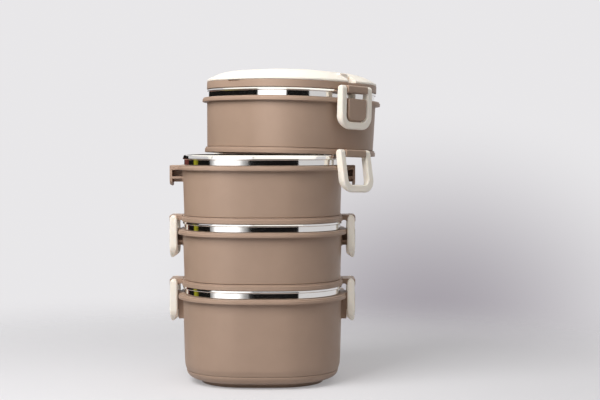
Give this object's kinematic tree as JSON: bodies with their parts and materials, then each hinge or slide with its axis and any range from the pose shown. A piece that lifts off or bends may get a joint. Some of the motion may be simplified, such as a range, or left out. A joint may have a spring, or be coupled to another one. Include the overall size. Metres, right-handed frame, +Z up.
{
  "type": "stacking bento box",
  "caption": "Stacked food tiers with steel liners and rolled rims, hooked together by side loop latches, under a lid with a fold-up bail handle; the top tier is set down turned.",
  "frame": {"origin": "middle of the flat underside of the bottom tier's foot", "axes": "+Z up the stack, X through the two latches of the lower tiers, -Y the front, which the picture faces"},
  "size_m": [0.1895, 0.1786, 0.2774],
  "materials": {
    "taupe_plastic": "fine matte polypropylene",
    "cream_plastic": "satin polypropylene",
    "liner_steel": "polished stainless steel",
    "pin_steel": "plain steel wire",
    "seal_silicone": "translucent white silicone"
  },
  "bodies": {
    "bottom_tier": {"bottom_base": "taupe_plastic", "bottom_shell": "taupe_plastic", "bottom_liner": "liner_steel"},
    "second_tier": {"second_base": "taupe_plastic", "second_shell": "taupe_plastic", "second_liner": "liner_steel", "second_seal": "seal_silicone", "second_left_pin": "pin_steel", "second_right_pin": "pin_steel"},
    "second_latch_left": {"second_left_latch": "cream_plastic"},
    "second_latch_right": {"second_right_latch": "cream_plastic"},
    "third_tier": {"third_base": "taupe_plastic", "third_shell": "taupe_plastic", "third_liner": "liner_steel", "third_seal": "seal_silicone", "third_left_pin": "pin_steel", "third_right_pin": "pin_steel"},
    "third_latch_left": {"third_left_latch": "cream_plastic"},
    "third_latch_right": {"third_right_latch": "cream_plastic"},
    "top_tier": {"top_base": "taupe_plastic", "top_shell": "taupe_plastic", "top_liner": "liner_steel", "top_seal": "seal_silicone", "top_left_pin": "pin_steel", "top_right_pin": "pin_steel"},
    "top_latch_left": {"top_left_latch": "cream_plastic"},
    "top_latch_right": {"top_right_latch": "cream_plastic"},
    "lid": {"lid_base": "taupe_plastic", "lid_cap": "cream_plastic", "lid_seal": "seal_silicone", "lid_left_pin": "pin_steel", "lid_right_pin": "pin_steel", "handle_left_pin": "pin_steel", "handle_right_pin": "pin_steel"},
    "lid_latch_left": {"lid_left_latch": "cream_plastic"},
    "lid_latch_right": {"lid_right_latch": "cream_plastic"},
    "handle": {"carry_handle": "cream_plastic"}
  },
  "joints": [
    {"name": "lift_second_tier", "type": "slide", "parent": "bottom_tier", "child": "second_tier", "axis": [0, 0, 1], "range_m": [0, 0.01]},
    {"name": "lift_third_tier", "type": "slide", "parent": "second_tier", "child": "third_tier", "axis": [0, 0, 1], "range_m": [0, 0.01]},
    {"name": "lift_top_tier", "type": "slide", "parent": "third_tier", "child": "top_tier", "axis": [0, 0, 1], "range_m": [0, 0.08]},
    {"name": "lift_lid", "type": "slide", "parent": "top_tier", "child": "lid", "axis": [0.0271, 0.0237, 0.9994], "range_m": [0, 0.01]},
    {"name": "second_left_latch_hinge", "type": "hinge", "parent": "second_tier", "child": "second_latch_left", "pos_m": [-0.0789, 0, 0.0875], "axis": [0, 1, 0], "range_deg": [0, 120]},
    {"name": "second_right_latch_hinge", "type": "hinge", "parent": "second_tier", "child": "second_latch_right", "pos_m": [0.0789, 0, 0.0875], "axis": [0, -1, 0], "range_deg": [0, 120]},
    {"name": "third_left_latch_hinge", "type": "hinge", "parent": "third_tier", "child": "third_latch_left", "pos_m": [-0.0789, 0, 0.1444], "axis": [0, 1, 0], "range_deg": [0, 120]},
    {"name": "third_right_latch_hinge", "type": "hinge", "parent": "third_tier", "child": "third_latch_right", "pos_m": [0.0789, 0, 0.1444], "axis": [0, -1, 0], "range_deg": [0, 120]},
    {"name": "top_left_latch_hinge", "type": "hinge", "parent": "top_tier", "child": "top_latch_left", "pos_m": [-0.03145, 0.07713, 0.20304], "axis": [0.7066, 0.7067, -0.0359], "range_deg": [0, 90]},
    {"name": "top_right_latch_hinge", "type": "hinge", "parent": "top_tier", "child": "top_latch_right", "pos_m": [0.08013, -0.03446, 0.20266], "axis": [-0.7066, -0.7067, 0.0359], "range_deg": [0, 110]},
    {"name": "lid_left_latch_hinge", "type": "hinge", "parent": "lid", "child": "lid_latch_left", "pos_m": [-0.02995, 0.07844, 0.25855], "axis": [0.7066, 0.7067, -0.0359], "range_deg": [0, 120]},
    {"name": "lid_right_latch_hinge", "type": "hinge", "parent": "lid", "child": "lid_latch_right", "pos_m": [0.08163, -0.03314, 0.25817], "axis": [-0.7066, -0.7067, 0.0359], "range_deg": [0, 120]},
    {"name": "handle_hinge", "type": "hinge", "parent": "lid", "child": "handle", "pos_m": [0.02897, 0.02574, 0.26926], "axis": [-0.7071, 0.7071, 0.0024], "range_deg": [0, 90]}
  ],
  "couplings": [
    {"joint": "second_left_latch_hinge", "follows": "lift_second_tier", "rad_per_m": 209.4},
    {"joint": "second_right_latch_hinge", "follows": "lift_second_tier", "rad_per_m": 209.4},
    {"joint": "third_left_latch_hinge", "follows": "lift_third_tier", "rad_per_m": 209.4},
    {"joint": "third_right_latch_hinge", "follows": "lift_third_tier", "rad_per_m": 209.4},
    {"joint": "lid_left_latch_hinge", "follows": "lift_lid", "rad_per_m": 209.4},
    {"joint": "lid_right_latch_hinge", "follows": "lift_lid", "rad_per_m": 209.4}
  ]
}
